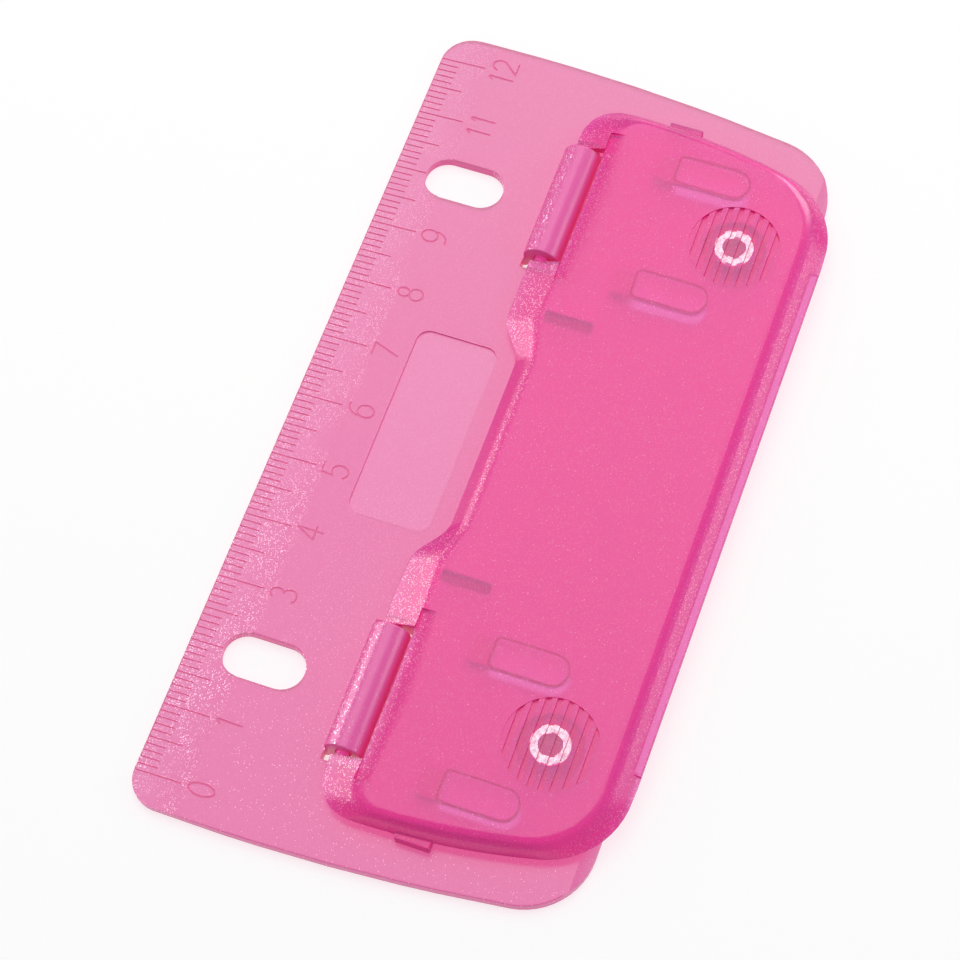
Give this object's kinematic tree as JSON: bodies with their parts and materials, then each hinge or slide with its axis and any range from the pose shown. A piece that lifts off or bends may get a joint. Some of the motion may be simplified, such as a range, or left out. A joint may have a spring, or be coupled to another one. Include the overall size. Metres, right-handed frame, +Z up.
{
  "type": "pocket hole punch",
  "caption": "Flat pocket punch for ring-binder holes: a clear plate with a ruler edge and filing slots, and a clip-on lever that carries hollow steel punches.",
  "frame": {"origin": "middle of the overall box, on the surface that the plate lies on", "axes": "+X along the ruler from 0 to 12, +Y from the front edge, where the paper goes in, to the ruler edge, +Z up"},
  "size_m": [0.129, 0.0652, 0.0055],
  "materials": {
    "base_plastic": "injection-moulded clear styrene plastic, tinted light pink, with fine glitter in it",
    "lever_plastic": "injection-moulded clear styrene plastic, tinted deeper pink, with fine glitter in it",
    "punch_steel": "hardened steel tube, bright, ground to a cutting edge from the inside"
  },
  "bodies": {
    "base": {"base_plate": "base_plastic"},
    "lever": {"punch_lever": "lever_plastic", "punch_left": "punch_steel", "punch_right": "punch_steel"}
  },
  "joints": [
    {"name": "lever_hinge", "type": "hinge", "parent": "base", "child": "lever", "pos_m": [0, 0.0063, 0.0027], "axis": [-1, 0, 0], "range_deg": [0, 7]}
  ]
}
